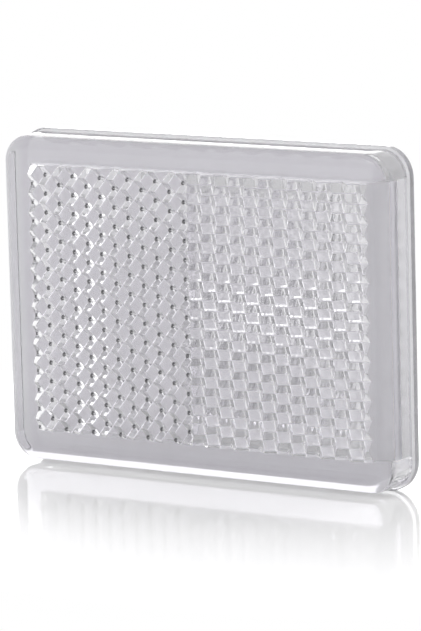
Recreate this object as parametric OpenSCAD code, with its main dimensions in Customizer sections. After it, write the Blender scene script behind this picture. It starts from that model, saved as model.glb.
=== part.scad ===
// Rectangular clear safety reflector: a moulded prism lens cemented to a flat back plate.
// The mounting face is the plane Y = 0, the lens faces -Y and Z is up.
// The origin is the centre of the mounting face. Millimetres.

/* [Back plate] */
// Width of the back plate, the widest part
plate_w = 54; // [44:0.5:90]
// Height of the back plate
plate_h = 40; // [32:0.5:70]
// Thickness of the back plate
plate_t = 1.1; // [0.8:0.1:1.8]
// Radius of the back plate's corners
plate_r = 3.6; // [3.2:0.1:7]
// Rounding of the mounting face's edge
plate_edge_r = 0.3; // [0.1:0.05:0.5]
// Height of the step that locates the plate inside the lens
step_h = 0.4; // [0.2:0.1:0.8]
// Clearance round the step
step_gap = 0.15; // [0.05:0.05:0.4]
// Film of cement between the plate and the lens
cement_t = 0.05; // [0.02:0.01:0.2]

/* [Lens body] */
// How far the back plate stands out past the lens on each side
ledge = 0.35; // [0.15:0.05:1]
// Depth of the lens, from its back edge to its front face
lens_d = 5.05; // [4.8:0.05:8]
// Rounding between the front face and the walls
front_r = 1.7; // [0.6:0.1:2.4]
// Width of the solid rim at the left and right of the prisms
rim_side = 3.25; // [1.8:0.05:6]
// Width of the solid rim above and below the prisms
rim_end = 3.55; // [1.8:0.05:6]

/* [Prisms] */
// Distance between neighbouring prisms, which is the hexagons' width across flats
prism_pitch = 2.27; // [1.8:0.01:3]
// Solid plastic between the front face and the nearest prism valley
web_t = 1.2; // [0.8:0.1:2.4]
// How far right of the lens's middle the turned group's first column is centred
prism_x0 = 0.2; // [-1:0.05:1]
// How far above the lens's middle a prism of that column is centred
prism_z0 = 0.1; // [-1:0.05:1]

/* [Hidden] */

lens_w = plate_w - 2 * ledge;
lens_h = plate_h - 2 * ledge;
lens_r = plate_r - ledge;
seat_z = plate_t + cement_t;
front_z = seat_z + lens_d;
field_w = lens_w - 2 * rim_side;
field_h = lens_h - 2 * rim_end;

// A cube corner seen along its diagonal is a hexagon, and its corners lie on a
// grid of triangles. Each step of the cube's edge climbs one third of the diagonal.
grid = prism_pitch / sqrt(3);
climb = prism_pitch / sqrt(6);
apex_z = front_z - web_t - 2 * climb;
// Grid rows and columns that reach past the field on every side
columns = 2 * ceil((field_w / 2 + 2 * prism_pitch) / grid);
rows = 2 * ceil(field_h / prism_pitch + 3);
overlap = 0.5;

smooth = 96;

// Which of the cube's corners a grid point is: 0 for the apex, then 1 and 2 climbs up
function corner_kind(i, j, turn) = ((turn * (i - j)) % 3 + 3) % 3;
function column_at(c, r) = c - columns / 2 - floor((r - rows / 2) / 2);
function grid_point(c, r, turn) = let (i = column_at(c, r), j = r - rows / 2) [
    prism_x0 + grid * (i + j / 2),
    prism_z0 + prism_pitch / 2 * j,
    apex_z + climb * corner_kind(i, j, turn)
];
function index(c, r) = r * (columns + 1) + c;
function odd_row(r) = abs(r - rows / 2) % 2;

// Grid points round the outside of the patch, counter-clockwise from its first corner
function border() = concat(
    [for (c = [0 : columns]) index(c, 0)],
    [for (r = [1 : rows]) index(columns, r)],
    [for (c = [columns - 1 : -1 : 0]) index(c, rows)],
    [for (r = [rows - 1 : -1 : 1]) index(0, r)]
);
// The two triangles of each grid cell, which lean left on odd rows
function cell_faces(c, r) = odd_row(r) == 1 ? [
    [index(c, r), index(c + 1, r + 1), index(c + 1, r)],
    [index(c, r), index(c, r + 1), index(c + 1, r + 1)]
] : [
    [index(c, r), index(c, r + 1), index(c + 1, r)],
    [index(c + 1, r), index(c, r + 1), index(c + 1, r + 1)]
];

// Air behind a patch of cube corners, down to the plane z = floor_z
module prism_air(turn, floor_z) {
    ring = border();
    count = len(ring);
    top = [for (r = [0 : rows], c = [0 : columns]) grid_point(c, r, turn)];
    foot = [for (k = ring) [top[k][0], top[k][1], floor_z]];
    first = len(top);
    relief = [for (r = [0 : rows - 1], c = [0 : columns - 1]) each cell_faces(c, r)];
    sides = [for (k = [0 : count - 1]) let (n = (k + 1) % count) each [
        [ring[k], ring[n], first + n],
        [ring[k], first + n, first + k]
    ]];
    middle = [prism_x0, prism_z0, floor_z];
    base = [for (k = [0 : count - 1]) [first + k, first + (k + 1) % count, first + count]];
    polyhedron(concat(top, foot, [middle]), concat(relief, sides, base));
}

// Section of an outer wall from its corner's centre line out, rounded at the far end
module wall_section(reach, depth, r) {
    difference() {
        square([reach, depth]);
        translate([reach - r, depth - r]) difference() {
            square(2 * r);
            circle(r, $fn = smooth);
        }
    }
}

// Block with rounded corners whose far face is rounded over by r
module rounded_block(w, h, corner_r, depth, r) {
    cx = w / 2 - corner_r;
    cy = h / 2 - corner_r;
    translate([-cx, -cy, 0]) cube([2 * cx, 2 * cy, depth]);
    for (side = [0, 180]) rotate([0, 0, side]) {
        translate([cx, cy, 0]) rotate([90, 0, 0]) linear_extrude(2 * cy)
            wall_section(corner_r, depth, r);
        translate([-cx, cy, 0]) rotate([90, 0, 90]) linear_extrude(2 * cx)
            wall_section(corner_r, depth, r);
        translate([cx, cy, 0]) rotate_extrude(angle = 90, $fn = smooth)
            wall_section(corner_r, depth, r);
        translate([-cx, cy, 0]) rotate([0, 0, 90]) rotate_extrude(angle = 90, $fn = smooth)
            wall_section(corner_r, depth, r);
    }
}

// The zigzag seam between the groups, which follows the sides of whole hexagons
function seam() = [for (r = [0 : rows]) let (j = r - rows / 2) [
    prism_x0 - grid * (odd_row(r) == 1 ? 1 / 2 : 1),
    prism_z0 + prism_pitch / 2 * j
]];

// The part of the prism field on one side of the seam: -1 for the left, 1 for the right
module group_area(side) {
    intersection() {
        square([field_w, field_h], center = true);
        polygon(concat(seam(), [
            [side * field_w, field_h],
            [side * field_w, -field_h]
        ]));
    }
}

// Hollow behind the prisms, open at the back and cut square at the field's edges
module prism_hollow() {
    for (side = [-1, 1]) intersection() {
        prism_air(-side, seat_z - 2 * overlap);
        translate([0, 0, seat_z - overlap]) linear_extrude(lens_d) group_area(side);
    }
}

// Clear moulding, built on its back and stood up
module lens() {
    color([0.93, 0.94, 0.96, 0.45]) rotate([90, 0, 0]) difference() {
        translate([0, 0, seat_z]) rounded_block(lens_w, lens_h, lens_r, lens_d, front_r);
        prism_hollow();
    }
}

// Flat plate with a step that drops into the lens
module back_plate() {
    step_w = field_w - 2 * step_gap;
    step_l = field_h - 2 * step_gap;
    color([0.85, 0.85, 0.87]) rotate([90, 0, 0]) {
        translate([0, 0, plate_t]) mirror([0, 0, 1])
            rounded_block(plate_w, plate_h, plate_r, plate_t, plate_edge_r);
        translate([-step_w / 2, -step_l / 2, plate_t / 2])
            cube([step_w, step_l, plate_t / 2 + step_h]);
    }
}

lens();
back_plate();
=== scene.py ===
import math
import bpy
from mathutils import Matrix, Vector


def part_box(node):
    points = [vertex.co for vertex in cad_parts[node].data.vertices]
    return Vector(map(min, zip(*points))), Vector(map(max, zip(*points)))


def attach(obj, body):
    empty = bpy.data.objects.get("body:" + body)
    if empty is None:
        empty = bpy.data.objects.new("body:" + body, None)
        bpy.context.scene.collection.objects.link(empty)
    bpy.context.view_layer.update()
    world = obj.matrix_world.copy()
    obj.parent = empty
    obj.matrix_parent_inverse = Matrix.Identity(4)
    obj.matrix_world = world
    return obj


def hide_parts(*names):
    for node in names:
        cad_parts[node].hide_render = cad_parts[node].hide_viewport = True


bl_info = {
    "name": "Safety reflector",
    "version": (1, 0, 0),
    "blender": (4, 5, 0),
    "location": "View3D > Sidebar > Reflector",
    "description": "Finishes a clear prism reflector and sets it on a pale studio floor",
    "category": "Object",
}

import bmesh
import bpy
from mathutils import Matrix, Vector

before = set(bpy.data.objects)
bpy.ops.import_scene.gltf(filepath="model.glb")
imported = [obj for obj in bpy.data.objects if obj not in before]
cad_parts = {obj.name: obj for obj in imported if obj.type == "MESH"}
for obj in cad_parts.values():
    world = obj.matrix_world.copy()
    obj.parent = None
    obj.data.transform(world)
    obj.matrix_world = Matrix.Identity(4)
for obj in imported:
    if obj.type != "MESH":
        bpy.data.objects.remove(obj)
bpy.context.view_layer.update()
LENS_LOW, LENS_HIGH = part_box("lens")
PLATE_LOW, PLATE_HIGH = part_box("back_plate")

MM = 0.001


# Shader helpers

def new_material(name):
    """A node material and its Principled shader."""
    material = bpy.data.materials.new(name)
    material.use_nodes = True
    return material, material.node_tree.nodes["Principled BSDF"]


def group_sockets(tree, inputs, outputs):
    """Gives a node group its sockets: name, type and default."""
    for name, kind, default in inputs:
        socket = tree.interface.new_socket(name, in_out="INPUT", socket_type=kind)
        socket.default_value = default
    for name, kind in outputs:
        tree.interface.new_socket(name, in_out="OUTPUT", socket_type=kind)


def socket_by_id(sockets, identifier):
    """One of several sockets that share a name."""
    return next(socket for socket in sockets if socket.identifier == identifier)


def maths(tree, operation, first, second=None):
    """A Math node on two values, each a socket or a number, and its result."""
    node = tree.nodes.new("ShaderNodeMath")
    node.operation = operation
    for socket, value in zip(node.inputs, (first, second)):
        if value is None:
            continue
        if isinstance(value, bpy.types.NodeSocket):
            tree.links.new(value, socket)
        else:
            socket.default_value = value
    return node.outputs[0]


def ramp(tree, value, start, end, low, high):
    """Smooth step of a value, from low at start to high at end."""
    node = tree.nodes.new("ShaderNodeMapRange")
    node.interpolation_type = "SMOOTHSTEP"
    node.inputs["From Min"].default_value = start
    node.inputs["From Max"].default_value = end
    node.inputs["To Min"].default_value = low
    node.inputs["To Max"].default_value = high
    tree.links.new(value, node.inputs["Value"])
    return node.outputs[0]


def split_axes(tree, coordinates):
    """The X, Y and Z of one kind of texture coordinates."""
    place = tree.nodes.new("ShaderNodeTexCoord").outputs[coordinates]
    split = tree.nodes.new("ShaderNodeSeparateXYZ")
    tree.links.new(place, split.inputs[0])
    return split.outputs


FLOW_DETAIL = 2.0
GRAIN_DETAIL = 3.0
FLOW_LOW = 0.35
FLOW_HIGH = 0.7
SKIN_RELIEF = 0.05 * MM


def moulded_skin_group():
    """Faint flow lines and fine dust of a moulded plastic skin, as height and roughness."""
    name = "Moulded skin"
    if name in bpy.data.node_groups:
        return bpy.data.node_groups[name]
    tree = bpy.data.node_groups.new(name, "ShaderNodeTree")
    group_sockets(
        tree,
        (
            ("Flow scale", "NodeSocketFloat", 90.0),
            ("Grain scale", "NodeSocketFloat", 2600.0),
            ("Flow height", "NodeSocketFloat", 0.5),
            ("Grain height", "NodeSocketFloat", 0.2),
            ("Roughness low", "NodeSocketFloat", 0.05),
            ("Roughness high", "NodeSocketFloat", 0.12),
        ),
        (("Height", "NodeSocketFloat"), ("Roughness", "NodeSocketFloat")),
    )
    inside = tree.nodes.new("NodeGroupInput").outputs
    out = tree.nodes.new("NodeGroupOutput").inputs
    place = tree.nodes.new("ShaderNodeTexCoord").outputs["Object"]
    noises = []
    for socket, detail in (("Flow scale", FLOW_DETAIL), ("Grain scale", GRAIN_DETAIL)):
        noise = tree.nodes.new("ShaderNodeTexNoise")
        noise.inputs["Detail"].default_value = detail
        tree.links.new(place, noise.inputs["Vector"])
        tree.links.new(inside[socket], noise.inputs["Scale"])
        noises.append(noise.outputs["Fac"])
    flow, grain = noises
    height = maths(
        tree,
        "ADD",
        maths(tree, "MULTIPLY", flow, inside["Flow height"]),
        maths(tree, "MULTIPLY", grain, inside["Grain height"]),
    )
    tree.links.new(height, out["Height"])
    spread = tree.nodes.new("ShaderNodeMapRange")
    spread.inputs["From Min"].default_value = FLOW_LOW
    spread.inputs["From Max"].default_value = FLOW_HIGH
    tree.links.new(flow, spread.inputs["Value"])
    tree.links.new(inside["Roughness low"], spread.inputs["To Min"])
    tree.links.new(inside["Roughness high"], spread.inputs["To Max"])
    tree.links.new(spread.outputs[0], out["Roughness"])
    return tree


def moulded(tree, shader, low, high, strength):
    """Feeds a shader's roughness, between low and high, and its bump from the moulded skin."""
    skin = tree.nodes.new("ShaderNodeGroup")
    skin.node_tree = moulded_skin_group()
    skin.inputs["Roughness low"].default_value = low
    skin.inputs["Roughness high"].default_value = high
    tree.links.new(skin.outputs["Roughness"], shader.inputs["Roughness"])
    bump = tree.nodes.new("ShaderNodeBump")
    bump.inputs["Strength"].default_value = strength
    bump.inputs["Distance"].default_value = SKIN_RELIEF
    tree.links.new(skin.outputs["Height"], bump.inputs["Height"])
    tree.links.new(bump.outputs["Normal"], shader.inputs["Normal"])


# What a user would change

class ReflectorLensLook(bpy.types.PropertyGroup):
    ridge_round: bpy.props.FloatProperty(
        name="Ridge rounding",
        description="Width lost at each raised edge of a prism",
        default=0.07 * MM,
        min=0.0,
        unit="LENGTH",
        precision=5,
    )
    valley_round: bpy.props.FloatProperty(
        name="Valley rounding",
        description="Width lost at each sunk edge between prisms",
        default=0.1 * MM,
        min=0.0,
        unit="LENGTH",
        precision=5,
    )
    round_steps: bpy.props.IntProperty(
        name="Rounding steps",
        description="Flat strips across each rounded prism edge",
        default=3,
        min=1,
        max=6,
    )
    tip_blunt: bpy.props.FloatProperty(
        name="Blunt tip",
        description="Length lost along each ridge at a prism's tip",
        default=0.3 * MM,
        min=0.0,
        unit="LENGTH",
        precision=5,
    )
    corner: bpy.props.FloatProperty(
        name="Corner radius",
        description="Radius of the lens's four corners",
        default=3.25 * MM,
        min=0.0,
        unit="LENGTH",
        precision=5,
    )
    fillet: bpy.props.FloatProperty(
        name="Front rounding",
        description="Rounding between the front face and the walls",
        default=1.7 * MM,
        min=0.0,
        unit="LENGTH",
        precision=5,
    )
    # Painted shade: the dark colour on the tips stands in for the dark spots that the clear tips
    # show from the front
    painted_tip_shade: bpy.props.FloatVectorProperty(
        name="Painted tip shade",
        description="Colour of the left group's blunt tips",
        default=(0.02, 0.02, 0.025),
        size=3,
        min=0.0,
        max=1.0,
        subtype="COLOR",
    )
    # Painted shade: this grey tint on the clear prisms stands in for the dimmer room and floor seen
    # through them
    skin: bpy.props.FloatVectorProperty(
        name="Prism shade tint",
        description="Colour of the prisms' faces",
        default=(0.77, 0.765, 0.78),
        size=3,
        min=0.0,
        max=1.0,
        subtype="COLOR",
    )
    wall_colour: bpy.props.FloatVectorProperty(
        name="Inner wall colour",
        description="Colour of the matt inner walls beside and above the prisms",
        default=(0.95, 0.94, 0.97),
        size=3,
        min=0.0,
        max=1.0,
        subtype="COLOR",
    )
    wall_blur: bpy.props.FloatProperty(
        name="Inner wall roughness",
        description="Roughness of the matt inner walls, seen from within the plastic",
        default=0.45,
        min=0.0,
        max=1.0,
        subtype="FACTOR",
    )
    tint: bpy.props.FloatVectorProperty(
        name="Tint",
        description="Colour of the clear plastic",
        default=(0.985, 0.985, 1.0),
        size=3,
        min=0.0,
        max=1.0,
        subtype="COLOR",
    )
    ior: bpy.props.FloatProperty(
        name="Refraction",
        description="Index of refraction of the clear plastic",
        default=1.49,
        min=1.3,
        max=1.7,
    )


class ReflectorPlateLook(bpy.types.PropertyGroup):
    colour: bpy.props.FloatVectorProperty(
        name="Colour",
        description="Colour of the see-through plate",
        default=(0.9, 0.885, 0.93),
        size=3,
        min=0.0,
        max=1.0,
        subtype="COLOR",
    )
    # Painted light: this lighter margin colour stands in for light bent in through the lens's
    # rounded edge
    painted_light_edge_colour: bpy.props.FloatVectorProperty(
        name="Painted light edge colour",
        description="Colour of the plate's thin polished margin",
        default=(0.95, 0.95, 0.97),
        size=3,
        min=0.0,
        max=1.0,
        subtype="COLOR",
    )
    # Painted light: width of the plate's margin that is painted lighter
    margin: bpy.props.FloatProperty(
        name="Margin",
        description="Width of the plate's lighter margin",
        default=1.2 * MM,
        min=0.0,
        unit="LENGTH",
        precision=5,
    )
    clearness: bpy.props.FloatProperty(
        name="Clearness",
        description="Share of the light that passes into the plate",
        default=0.75,
        min=0.0,
        max=1.0,
        subtype="FACTOR",
    )
    ior: bpy.props.FloatProperty(
        name="Refraction",
        description="Index of refraction of the plate's plastic",
        default=1.49,
        min=1.3,
        max=1.7,
    )
    corner: bpy.props.FloatProperty(
        name="Corner radius",
        description="Radius of the plate's four corners",
        default=3.6 * MM,
        min=0.0,
        unit="LENGTH",
        precision=5,
    )
    edge_round: bpy.props.FloatProperty(
        name="Back edge rounding",
        description="Rounding of the mounting face's edge",
        default=0.3 * MM,
        min=0.0,
        unit="LENGTH",
        precision=5,
    )
    step_gap: bpy.props.FloatProperty(
        name="Step clearance",
        description="Clearance between the locating step and the lens",
        default=0.15 * MM,
        min=0.0,
        unit="LENGTH",
        precision=5,
    )


class ReflectorStageLook(bpy.types.PropertyGroup):
    floor_tone: bpy.props.FloatProperty(
        name="Floor tone",
        description="Reflectance of the floor",
        default=0.65,
        min=0.0,
        max=1.0,
        subtype="FACTOR",
    )
    floor_lift: bpy.props.FloatProperty(
        name="Floor lift",
        description="Share of the floor's white that stays in the reflector's shadow",
        default=0.25,
        min=0.0,
        max=1.0,
        subtype="FACTOR",
    )
    floor_gloss: bpy.props.FloatProperty(
        name="Floor gloss",
        description="Strength of the mirror image in the floor beside the reflector",
        default=0.5,
        min=0.0,
        max=1.0,
        subtype="FACTOR",
    )
    fade_start: bpy.props.FloatProperty(
        name="Fade start",
        description="Distance from the reflector at which the floor begins to fade to white",
        default=12 * MM,
        min=0.0,
        unit="LENGTH",
    )
    fade_end: bpy.props.FloatProperty(
        name="Fade end",
        description="Distance from the reflector at which the floor is white",
        default=60 * MM,
        min=0.0,
        unit="LENGTH",
    )
    front_tone: bpy.props.FloatProperty(
        name="Room tone in front",
        description="Brightness of the studio on the camera's side",
        default=0.56,
        min=0.0,
        max=1.5,
    )
    back_tone: bpy.props.FloatProperty(
        name="Room tone behind",
        description="Brightness of the studio behind the reflector",
        default=1.0,
        min=0.0,
        max=1.5,
    )
    ceiling_tone: bpy.props.FloatProperty(
        name="Ceiling tone",
        description="Share of the room's brightness that is left straight above",
        default=0.65,
        min=0.0,
        max=1.5,
    )
    focal: bpy.props.FloatProperty(
        name="Focal length",
        description="Focal length of the camera on a 36 mm frame",
        default=242.47,
        min=20.0,
    )


LOOKS = (
    ("reflector_lens", ReflectorLensLook),
    ("reflector_plate", ReflectorPlateLook),
    ("reflector_stage", ReflectorStageLook),
)


# Rounded blocks

CORNER_STEPS = 20
FILLET_STEPS = 14
QUARTER_TURN = math.pi / 2
NEAR_ZERO = 1e-7
# A face that looks this squarely away from a block's rounded face belongs to its flat one
FLAT_LIMIT = 0.9


class Block:
    """Sizes of a block with rounded corners, rounded over at its round_y face."""

    def __init__(self, half_w, half_h, corner, flat_y, round_y, fillet):
        self.half_w = half_w
        self.half_h = half_h
        self.corner = corner
        self.flat_y = flat_y
        self.round_y = round_y
        self.fillet = fillet
        self.out = 1.0 if round_y > flat_y else -1.0

    def rings(self):
        """Inset and height of each loop round the block, from its flat face to its rounded one."""
        yield 0.0, self.flat_y
        for step in range(FILLET_STEPS + 1):
            angle = QUARTER_TURN * step / FILLET_STEPS
            inset = self.fillet * (1.0 - math.cos(angle))
            yield inset, self.round_y - self.out * self.fillet * (1.0 - math.sin(angle))

    def loop(self, inset, y):
        """Points of the rounded rectangle at that inset, in the plane y."""
        radius = self.corner - inset
        points = []
        for quarter, (side_x, side_z) in enumerate(((1, 1), (-1, 1), (-1, -1), (1, -1))):
            for step in range(CORNER_STEPS + 1):
                angle = QUARTER_TURN * (quarter + step / CORNER_STEPS)
                points.append(Vector((
                    side_x * (self.half_w - self.corner) + radius * math.cos(angle),
                    y,
                    side_z * (self.half_h - self.corner) + radius * math.sin(angle),
                )))
        return points

    def normal(self, point):
        """Exact outward normal of the block's side or rounded face at a point on it."""
        core_x = max(self.corner - self.half_w, min(self.half_w - self.corner, point.x))
        core_z = max(self.corner - self.half_h, min(self.half_h - self.corner, point.z))
        away = Vector((point.x - core_x, 0.0, point.z - core_z))
        flat = self.corner - self.fillet
        if away.length < flat + NEAR_ZERO:
            return Vector((0.0, self.out, 0.0))
        rise = self.out * (point.y - self.round_y) + self.fillet
        side = away.normalized()
        if rise < NEAR_ZERO:
            return side
        bend = side * (away.length - flat) + Vector((0.0, self.out * rise, 0.0))
        return bend.normalized()

    def build(self, name):
        """The block as a closed mesh object."""
        bm = bmesh.new()
        loops = [[bm.verts.new(p) for p in self.loop(*ring)] for ring in self.rings()]
        for below, above in zip(loops, loops[1:]):
            for k, vertex in enumerate(below):
                n = (k + 1) % len(below)
                bm.faces.new((vertex, below[n], above[n], above[k]))
        bm.faces.new(loops[0])
        bm.faces.new(loops[-1])
        return finish_mesh(bm, name)


def finish_mesh(bm, name):
    """A closed bmesh as a new object in the scene, with its normals outward."""
    bmesh.ops.recalc_face_normals(bm, faces=bm.faces)
    mesh = bpy.data.meshes.new(name)
    bm.to_mesh(mesh)
    bm.free()
    piece = bpy.data.objects.new(name, mesh)
    bpy.context.scene.collection.objects.link(piece)
    return piece


def split_large_faces(bm):
    """Cuts the faces with more than four corners into triangles."""
    bmesh.ops.triangulate(bm, faces=[f for f in bm.faces if len(f.verts) > 4])


def cut(piece, tool, operation):
    """Joins, subtracts or intersects a piece with a closed tool, which is used up."""
    modifier = piece.modifiers.new(operation.title(), "BOOLEAN")
    modifier.operation = operation
    modifier.object = tool
    modifier.solver = "MANIFOLD"
    bpy.context.view_layer.update()
    made = piece.evaluated_get(bpy.context.evaluated_depsgraph_get())
    mesh = bpy.data.meshes.new_from_object(made)
    piece.modifiers.clear()
    if not mesh.polygons:
        raise RuntimeError(f"nothing is left of {piece.name} after {tool.name}")
    piece.data = mesh
    bpy.data.objects.remove(tool)


def set_skin_normals(mesh, block):
    """Smooths the block's sides and rounded face, and keeps every other face flat."""
    edge_x = block.half_w - block.fillet
    edge_z = block.half_h - block.fillet
    normals = []
    for face in mesh.polygons:
        face.use_smooth = True
        outer = abs(face.center.x) > edge_x or abs(face.center.z) > edge_z
        skin = outer and face.normal.y * block.out > -FLAT_LIMIT
        for k in face.vertices:
            normals.append(block.normal(mesh.vertices[k].co) if skin else face.normal.copy())
    mesh.normals_split_custom_set(normals)


# Sizes shared with the part's source

SEAT_Y = -1.15 * MM
PLATE_FRONT_Y = -1.1 * MM
PITCH = 2.27 * MM
PRISM_X0 = 0.2 * MM
PRISM_Z0 = 0.1 * MM
WEB = 1.2 * MM
RIM_SIDE = 3.25 * MM
RIM_END = 3.55 * MM

# The cube corners lie on a grid of triangles: its step, a cube edge's climb and its length
GRID = PITCH / math.sqrt(3.0)
CLIMB = PITCH / math.sqrt(6.0)
EDGE = PITCH / math.sqrt(2.0)
# Shares of a cube edge that run outward from a prism's tip and towards the front face
OUTWARD = math.sqrt(2.0 / 3.0)
FORWARD = math.sqrt(1.0 / 3.0)

# How far the bodies that cut the lens reach past its back edge
OVERSHOOT = 0.6 * MM
WELD_GAP = 0.0005 * MM
SLIVER = 0.0002 * MM
PLANE_GAP = 1e-8


# Prisms

def prism_point(i, j, turn):
    """A cube corner of the prism field, and whether it is an apex (0), middle (1) or valley (2)."""
    kind = (turn * (i - j)) % 3
    return Vector((
        PRISM_X0 + GRID * (i + j / 2),
        LENS_LOW.y + WEB + CLIMB * (2 - kind),
        PRISM_Z0 + PITCH / 2 * j,
    )), kind


def arc(corner, first, second, radius, steps):
    """Points round a square edge, from radius along first to radius along second."""
    points = []
    for step in range(steps + 1):
        angle = QUARTER_TURN * step / steps
        points.append(
            corner
            + first * radius * (1.0 - math.sin(angle))
            + second * radius * (1.0 - math.cos(angle))
        )
    return points


def fan(rim, middle):
    """Triangles from a closed rim of points to a middle point."""
    return [(middle, rim[k], rim[(k + 1) % len(rim)]) for k in range(len(rim))]


def strip(first, second):
    """Quads between two rows of points."""
    return [
        (first[k], first[k + 1], second[k + 1], second[k]) for k in range(len(first) - 1)
    ]


def in_turn(axes):
    """The three axes in order, starting at each of them once."""
    for k in range(3):
        yield axes[k], axes[(k + 1) % 3], axes[(k + 2) % 3]


def apex_faces(apex, axes, look):
    """The three flat sides, ridges and blunt tip of one prism."""
    ridge = look.ridge_round
    tip = look.tip_blunt
    steps = look.round_steps
    far = EDGE - look.valley_round
    faces = []
    rim = []
    for a, b, c in in_turn(axes):
        faces.append((
            apex + a * tip + b * ridge,
            apex + a * far + b * ridge,
            apex + a * far + b * far,
            apex + a * ridge + b * far,
            apex + a * ridge + b * tip,
        ))
        near = arc(apex + a * tip, c, b, ridge, steps)
        faces += strip(near, arc(apex + a * far, c, b, ridge, steps))
        rim += near
    middle = sum(rim, Vector()) / len(rim)
    return faces + fan(rim, middle)


def middle_faces(point, axes, look):
    """The saddle where three ridges and three valleys meet."""
    ridge = look.ridge_round
    valley = look.valley_round
    steps = look.round_steps
    rim = []
    for a, b, c in in_turn(axes):
        rim += arc(point - a * valley, b, c, ridge, steps)[:-1]
        rim += arc(point + c * ridge, -a, -b, valley, steps)[:-1]
    return fan(rim, point)


def valley_faces(point, axes, look):
    """The three valleys that run from their meeting point, and that point."""
    valley = look.valley_round
    steps = look.round_steps
    far = EDGE - look.ridge_round
    faces = []
    rim = []
    for a, b, c in in_turn(axes):
        near = arc(point - a * valley, -c, -b, valley, steps)
        faces += strip(near, arc(point - a * far, -c, -b, valley, steps))
        rim += near[:-1]
    ball = point - (axes[0] + axes[1] + axes[2]) * valley * (1.0 - 1.0 / math.sqrt(3.0))
    return faces + fan(rim, ball)


def prism_axes(turn):
    """The three edges that meet at a prism's tip: turn is 1 for the left group, -1 for the right."""
    start = 0 if turn == 1 else 180
    axes = []
    for k in range(3):
        angle = math.radians(start + 120 * k)
        axes.append(Vector((math.cos(angle) * OUTWARD, -FORWARD, math.sin(angle) * OUTWARD)))
    return axes


def prism_air(turn, half_w, half_h, look):
    """Closed body of the air behind one group's prisms."""
    axes = prism_axes(turn)
    reach = int(2 * half_w / GRID)
    kinds = (apex_faces, middle_faces, valley_faces)
    faces = []
    for j in range(-reach, reach + 1):
        for i in range(-2 * reach, 2 * reach + 1):
            point, kind = prism_point(i, j, turn)
            if abs(point.x) > half_w + PITCH or abs(point.z) > half_h + PITCH:
                continue
            faces += kinds[kind](point, axes, look)
    bm = bmesh.new()
    for face in faces:
        bm.faces.new([bm.verts.new(p) for p in face])
    bmesh.ops.remove_doubles(bm, verts=bm.verts, dist=WELD_GAP)
    bmesh.ops.dissolve_degenerate(bm, edges=bm.edges, dist=SLIVER)
    for side in (Vector((1, 0, 0)), Vector((-1, 0, 0)), Vector((0, 0, 1)), Vector((0, 0, -1))):
        place = Vector((side.x * half_w, 0.0, side.z * half_h))
        parts = bm.verts[:] + bm.edges[:] + bm.faces[:]
        bmesh.ops.bisect_plane(
            bm, geom=parts, dist=PLANE_GAP, plane_co=place, plane_no=side, clear_outer=True
        )
    rim = [e for e in bm.edges if e.is_boundary]
    made = bmesh.ops.extrude_edge_only(bm, edges=rim)["geom"]
    foot = [v for v in made if isinstance(v, bmesh.types.BMVert)]
    for vertex in foot:
        vertex.co.y = SEAT_Y + OVERSHOOT
    loop = [e for e in made if isinstance(e, bmesh.types.BMEdge) and e.is_boundary]
    bmesh.ops.edgeloop_fill(bm, edges=loop)
    split_large_faces(bm)
    return finish_mesh(bm, "prism_air")


def group_area(side, half_w, half_h):
    """Closed body over one group's part of the field: -1 for the left, 1 for the right."""
    rows = int(half_h / PITCH * 2) + 3
    seam = []
    for j in range(-rows, rows + 1):
        back = GRID if j % 2 == 0 else GRID / 2
        seam.append((PRISM_X0 - back, PRISM_Z0 + PITCH / 2 * j))
    outline = seam + [
        (side * (half_w + PITCH), seam[-1][1]),
        (side * (half_w + PITCH), seam[0][1]),
    ]
    bm = bmesh.new()
    levels = [
        [bm.verts.new((x, y, z)) for x, z in outline]
        for y in (LENS_LOW.y + WEB / 2, SEAT_Y + OVERSHOOT * 2)
    ]
    for k in range(len(outline)):
        n = (k + 1) % len(outline)
        bm.faces.new((levels[0][k], levels[0][n], levels[1][n], levels[1][k]))
    for level in levels:
        bm.faces.new(level)
    split_large_faces(bm)
    return finish_mesh(bm, "group_area")


def box_body(name, low, high):
    """A closed box between two corners."""
    bm = bmesh.new()
    bmesh.ops.create_cube(bm, size=1.0)
    for vertex in bm.verts:
        vertex.co = Vector(high[k] if vertex.co[k] > 0 else low[k] for k in range(3))
    return finish_mesh(bm, name)


# Lens

# The lens's material slots, in the order in which its materials are added; the tip slot holds a
# painted shade
CLEAR, PAINTED_TIP, WALL, PRISM = range(4)

ON_WALL = 0.01 * MM
SQUARE_TO_WALL = 0.99
SQUARE_TO_BACK = 0.98
# How near to the prism's sharp tip a blunt tip's faces lie, and how large they are at most
TIP_REACH = 0.45 * MM
TIP_AREA = (0.4 * MM) ** 2
TIP_ROUGHNESS = 0.5


def see_through(shader, colour, ior):
    """Makes a shader clear plastic of one colour."""
    shader.inputs["Base Color"].default_value = (*colour, 1.0)
    shader.inputs["Transmission Weight"].default_value = 1.0
    shader.inputs["IOR"].default_value = ior


def clear_plastic(look):
    """Polished clear acrylic."""
    material, shader = new_material("Clear acrylic")
    see_through(shader, look.tint, look.ior)
    moulded(material.node_tree, shader, low=0.0, high=0.02, strength=0.3)
    return material


def painted_dark_tip(look):
    """Painted shade: a dark, rough surface on the prisms' blunt tips, standing in for the dark spots
    seen in them from the front.
    """
    material, shader = new_material("Prism tip painted dark")
    shader.inputs["Base Color"].default_value = (*look.painted_tip_shade, 1.0)
    shader.inputs["Roughness"].default_value = TIP_ROUGHNESS
    return material


def matt_wall(look):
    """The moulding's inner walls beside and above the prisms, matt from within the plastic."""
    material, shader = new_material("Matt inner wall")
    see_through(shader, look.wall_colour, look.ior)
    tree = material.node_tree
    behind = tree.nodes.new("ShaderNodeNewGeometry").outputs["Backfacing"]
    blur = maths(tree, "MULTIPLY", behind, look.wall_blur)
    tree.links.new(blur, shader.inputs["Roughness"])
    return material


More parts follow.
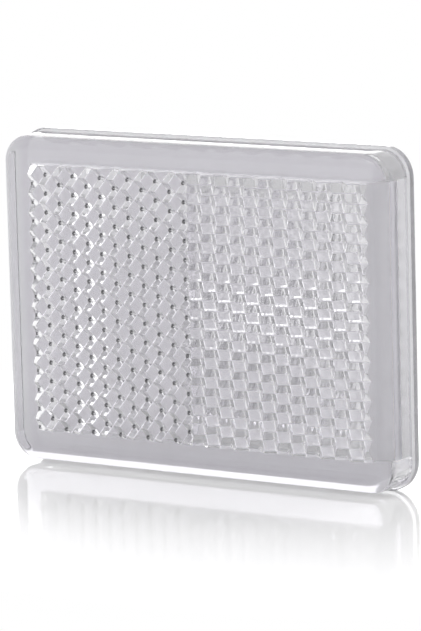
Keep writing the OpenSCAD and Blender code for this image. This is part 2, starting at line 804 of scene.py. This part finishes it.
def prism_faces_painted_grey(look):
    """The prisms' own faces, tinted grey as painted shade for the dim room seen through them."""
    material, shader = new_material("Prism acrylic painted grey")
    see_through(shader, look.skin, look.ior)
    shader.inputs["Roughness"].default_value = 0.0
    return material


def mark_painted_tip_shade(mesh, half_h):
    """Paints shade on the flat tips of the left group's prisms, but not the top row's, by giving
    them the dark material.
    """
    tip_y = LENS_LOW.y + WEB + 2 * CLIMB
    for face in mesh.polygons:
        near = abs(face.center.y - tip_y) < TIP_REACH
        left = face.center.x < PRISM_X0 - GRID / 2 and face.center.z < half_h - PITCH / 2
        if near and left and face.normal.y > SQUARE_TO_BACK and face.area < TIP_AREA:
            face.material_index = PAINTED_TIP


def mark_walls(mesh, half_w, half_h):
    """Makes the inner walls left and right of the prisms and above them matt."""
    for face in mesh.polygons:
        beside = abs(abs(face.center.x) - half_w) < ON_WALL
        above = abs(face.center.z - half_h) < ON_WALL
        at_side = beside and abs(face.normal.x) > SQUARE_TO_WALL
        at_top = above and face.normal.z < -SQUARE_TO_WALL
        if at_side or at_top:
            face.material_index = WALL


def mark_prisms(mesh, half_w, half_h):
    """Gives the prisms' faces their painted grey shade, apart from the tips painted dark."""
    for face in mesh.polygons:
        middle = face.center
        inside = abs(middle.x) < half_w - ON_WALL and abs(middle.z) < half_h - ON_WALL
        if inside and middle.y > LENS_LOW.y + WEB / 2 and face.material_index == CLEAR:
            face.material_index = PRISM


class REFLECTOR_OT_lens(bpy.types.Operator):
    """Make the clear moulded lens with its rounded prisms"""

    bl_idname = "reflector.lens"
    bl_label = "Lens"

    def execute(self, context):
        look = context.scene.reflector_lens
        block = Block(LENS_HIGH.x, LENS_HIGH.z, look.corner, SEAT_Y, LENS_LOW.y, look.fillet)
        half_w = LENS_HIGH.x - RIM_SIDE
        half_h = LENS_HIGH.z - RIM_END
        piece = block.build("clear_lens")
        for turn in (1, -1):
            air = prism_air(turn, half_w, half_h, look)
            cut(air, group_area(-turn, half_w, half_h), "INTERSECT")
            cut(piece, air, "DIFFERENCE")
        piece.data.materials.clear()
        for plastic in (clear_plastic, painted_dark_tip, matt_wall, prism_faces_painted_grey):
            piece.data.materials.append(plastic(look))
        # Painted shade: the left group's tips get the dark material
        mark_painted_tip_shade(piece.data, half_h)
        mark_walls(piece.data, half_w, half_h)
        mark_prisms(piece.data, half_w, half_h)
        set_skin_normals(piece.data, block)
        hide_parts("lens")
        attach(piece, "root")
        return {"FINISHED"}


# Back plate

# Share of the plate's margin, painted lighter as painted light, that has the margin's full colour
FULL_MARGIN = 0.3


def plate_plastic(look):
    """Smoky grey plastic that lets light through, with its margin painted lighter as painted light.
    """
    material, shader = new_material("Smoky plate plastic")
    tree = material.node_tree
    place = split_axes(tree, "Object")
    inside_x = maths(tree, "SUBTRACT", PLATE_HIGH.x, maths(tree, "ABSOLUTE", place["X"]))
    inside_z = maths(tree, "SUBTRACT", PLATE_HIGH.z, maths(tree, "ABSOLUTE", place["Z"]))
    inside = maths(tree, "MINIMUM", inside_x, inside_z)
    # Painted light: the plate is painted lighter towards its outer edge
    edge = ramp(tree, inside, look.margin * FULL_MARGIN, look.margin, 1.0, 0.0)
    mix = tree.nodes.new("ShaderNodeMix")
    mix.data_type = "RGBA"
    tree.links.new(edge, mix.inputs["Factor"])
    socket_by_id(mix.inputs, "A_Color").default_value = (*look.colour, 1.0)
    socket_by_id(mix.inputs, "B_Color").default_value = (*look.painted_light_edge_colour, 1.0)
    tree.links.new(socket_by_id(mix.outputs, "Result_Color"), shader.inputs["Base Color"])
    shader.inputs["Transmission Weight"].default_value = look.clearness
    shader.inputs["IOR"].default_value = look.ior
    moulded(tree, shader, low=0.06, high=0.16, strength=0.6)
    return material


class REFLECTOR_OT_back_plate(bpy.types.Operator):
    """Make the flat grey back plate"""

    bl_idname = "reflector.back_plate"
    bl_label = "Back plate"

    def execute(self, context):
        look = context.scene.reflector_plate
        block = Block(
            PLATE_HIGH.x, PLATE_HIGH.z, look.corner, PLATE_FRONT_Y, PLATE_HIGH.y, look.edge_round
        )
        piece = block.build("grey_back_plate")
        half_w = LENS_HIGH.x - RIM_SIDE - look.step_gap
        half_h = LENS_HIGH.z - RIM_END - look.step_gap
        step = box_body(
            "step",
            (-half_w, PLATE_LOW.y, -half_h),
            (half_w, PLATE_HIGH.y + PLATE_FRONT_Y / 2, half_h),
        )
        cut(piece, step, "UNION")
        piece.data.materials.clear()
        piece.data.materials.append(plate_plastic(look))
        set_skin_normals(piece.data, block)
        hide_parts("back_plate")
        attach(piece, "root")
        return {"FINISHED"}


# Stage

FLOOR_SIZE = 6.0
FLOOR_ROUGHNESS = 0.08

# The room's tone changes from front to back between these directions along Y
FRONT_DIRECTION = -0.9
BACK_DIRECTION = 0.3
# The ceiling begins and is full at these directions along Z
CEILING_START = 0.7
CEILING_FULL = 0.85
# Soft panels of the room, as the range of directions along X, Y and Z, and their strength
PANELS = (
    (((-0.7, -0.38), (0.42, 1.1), (0.0, 0.68)), 1.6),
    (((0.18, 0.45), (-0.22, 0.0), (0.88, 1.1)), 1.5),
    (((-0.25, 0.3), (0.34, 0.6), (0.8, 0.97)), 4.0),
    (((-0.2, 0.3), (-0.6, -0.36), (0.78, 0.97)), 2.0),
)
PANEL_SOFT = 0.05

SENSOR_WIDTH = 36.0
CLIP_START = 0.01
CLIP_END = 20.0
CAMERA_PLACE = Vector((270.99, -412.05, 80.12)) * MM
CAMERA_RIGHT = Vector((0.8364, 0.5475, -0.0262))
CAMERA_DOWN = Vector((0.0676, -0.1505, -0.9863))
CAMERA_AHEAD = Vector((-0.5439, 0.8232, -0.1629))

THROUGH_BOUNCES = 40
MIRROR_BOUNCES = 12


def ray_kinds(tree):
    """The outputs that tell camera, mirror and see-through rays from the rest."""
    return tree.nodes.new("ShaderNodeLightPath").outputs


def seen_by_eye(tree):
    """One for camera, mirror and see-through rays, zero for the rays that light things."""
    rays = ray_kinds(tree)
    seen = maths(tree, "MAXIMUM", rays["Is Camera Ray"], rays["Is Glossy Ray"])
    return maths(tree, "MAXIMUM", seen, rays["Is Transmission Ray"])


def distance_from_reflector(tree):
    """How far a point of the floor lies from the line on which the reflector stands."""
    place = split_axes(tree, "Object")
    side = maths(tree, "SUBTRACT", maths(tree, "ABSOLUTE", place["X"]), PLATE_HIGH.x)
    side = maths(tree, "MAXIMUM", side, 0.0)
    depth = maths(tree, "SUBTRACT", place["Y"], LENS_LOW.y / 2)
    squares = maths(
        tree, "ADD", maths(tree, "MULTIPLY", side, side), maths(tree, "MULTIPLY", depth, depth)
    )
    return maths(tree, "SQRT", squares)


def make_floor(look):
    """A wide pale floor just under the reflector, which fades to white away from it."""
    bpy.ops.mesh.primitive_plane_add(size=FLOOR_SIZE, location=(0.0, 0.0, PLATE_LOW.z))
    floor = bpy.context.object
    floor.name = "studio_floor"
    material, shader = new_material("Glossy white floor")
    tree = material.node_tree
    away = distance_from_reflector(tree)
    near = ramp(tree, away, look.fade_start, look.fade_end, 1.0, 0.0)
    base = maths(tree, "MULTIPLY", near, look.floor_tone)
    tree.links.new(base, shader.inputs["Base Color"])
    glow = maths(tree, "SUBTRACT", 1.0, maths(tree, "MULTIPLY", near, 1.0 - look.floor_lift))
    glow = maths(tree, "MULTIPLY", glow, seen_by_eye(tree))
    tree.links.new(glow, shader.inputs["Emission Color"])
    shader.inputs["Emission Strength"].default_value = 1.0
    camera_gloss = maths(tree, "MULTIPLY", ray_kinds(tree)["Is Camera Ray"], look.floor_gloss)
    gloss = maths(tree, "MULTIPLY", near, camera_gloss)
    tree.links.new(gloss, shader.inputs["Specular IOR Level"])
    shader.inputs["Roughness"].default_value = FLOOR_ROUGHNESS
    floor.data.materials.append(material)


def panel_light(tree, directions, ranges, strength):
    """The light of one panel with soft edges, over a range of directions along each axis."""
    panel = strength
    for axis, (low, high) in zip("XYZ", ranges):
        value = directions[axis]
        rise = ramp(tree, value, low - PANEL_SOFT, low + PANEL_SOFT, 0.0, 1.0)
        fall = ramp(tree, value, high - PANEL_SOFT, high + PANEL_SOFT, 1.0, 0.0)
        panel = maths(tree, "MULTIPLY", maths(tree, "MULTIPLY", rise, fall), panel)
    return panel


def make_room(look):
    """Soft light from all round with a few brighter panels, and white behind for the eye."""
    world = bpy.data.worlds.new("Studio room")
    bpy.context.scene.world = world
    world.use_nodes = True
    tree = world.node_tree
    directions = split_axes(tree, "Generated")
    light = ramp(
        tree, directions["Y"], FRONT_DIRECTION, BACK_DIRECTION, look.front_tone, look.back_tone
    )
    ceiling = ramp(tree, directions["Z"], CEILING_START, CEILING_FULL, 1.0, look.ceiling_tone)
    light = maths(tree, "MULTIPLY", light, ceiling)
    for ranges, strength in PANELS:
        light = maths(tree, "ADD", light, panel_light(tree, directions, ranges, strength))
    light = maths(tree, "MAXIMUM", light, ray_kinds(tree)["Is Camera Ray"])
    tree.links.new(light, tree.nodes["Background"].inputs["Color"])


def make_camera(look):
    """The camera at the photograph's place and angle."""
    data = bpy.data.cameras.new("Studio camera")
    data.sensor_fit = "AUTO"
    data.sensor_width = SENSOR_WIDTH
    data.lens = look.focal
    data.clip_start = CLIP_START
    data.clip_end = CLIP_END
    camera = bpy.data.objects.new("studio_camera", data)
    bpy.context.scene.collection.objects.link(camera)
    turn = Matrix((CAMERA_RIGHT, -CAMERA_DOWN, -CAMERA_AHEAD)).transposed()
    camera.matrix_world = Matrix.Translation(CAMERA_PLACE) @ turn.to_4x4()
    bpy.context.scene.camera = camera


class REFLECTOR_OT_stage(bpy.types.Operator):
    """Set up the pale floor, the soft room light and the camera"""

    bl_idname = "reflector.stage"
    bl_label = "Stage"

    def execute(self, context):
        look = context.scene.reflector_stage
        make_floor(look)
        make_room(look)
        make_camera(look)
        scene = context.scene
        scene.view_settings.view_transform = "Standard"
        scene.cycles.max_bounces = THROUGH_BOUNCES
        scene.cycles.transmission_bounces = THROUGH_BOUNCES
        scene.cycles.glossy_bounces = MIRROR_BOUNCES
        return {"FINISHED"}


class REFLECTOR_PT_panel(bpy.types.Panel):
    bl_label = "Safety reflector"
    bl_idname = "REFLECTOR_PT_panel"
    bl_space_type = "VIEW_3D"
    bl_region_type = "UI"
    bl_category = "Reflector"

    def draw(self, context):
        layout = self.layout
        for name, look in LOOKS:
            box = layout.box()
            for key in look.__annotations__:
                box.prop(getattr(context.scene, name), key)
        for operator in OPERATORS:
            layout.operator(operator.bl_idname)


OPERATORS = (REFLECTOR_OT_lens, REFLECTOR_OT_back_plate, REFLECTOR_OT_stage)


def register():
    for name, look in LOOKS:
        bpy.utils.register_class(look)
        setattr(bpy.types.Scene, name, bpy.props.PointerProperty(type=look))
    for operator in OPERATORS:
        bpy.utils.register_class(operator)
    bpy.utils.register_class(REFLECTOR_PT_panel)


def unregister():
    bpy.utils.unregister_class(REFLECTOR_PT_panel)
    for operator in reversed(OPERATORS):
        bpy.utils.unregister_class(operator)
    for name, look in reversed(LOOKS):
        delattr(bpy.types.Scene, name)
        bpy.utils.unregister_class(look)


def main():
    register()
    bpy.ops.reflector.lens()
    bpy.ops.reflector.back_plate()
    bpy.ops.reflector.stage()


if __name__ == "__main__":
    main()
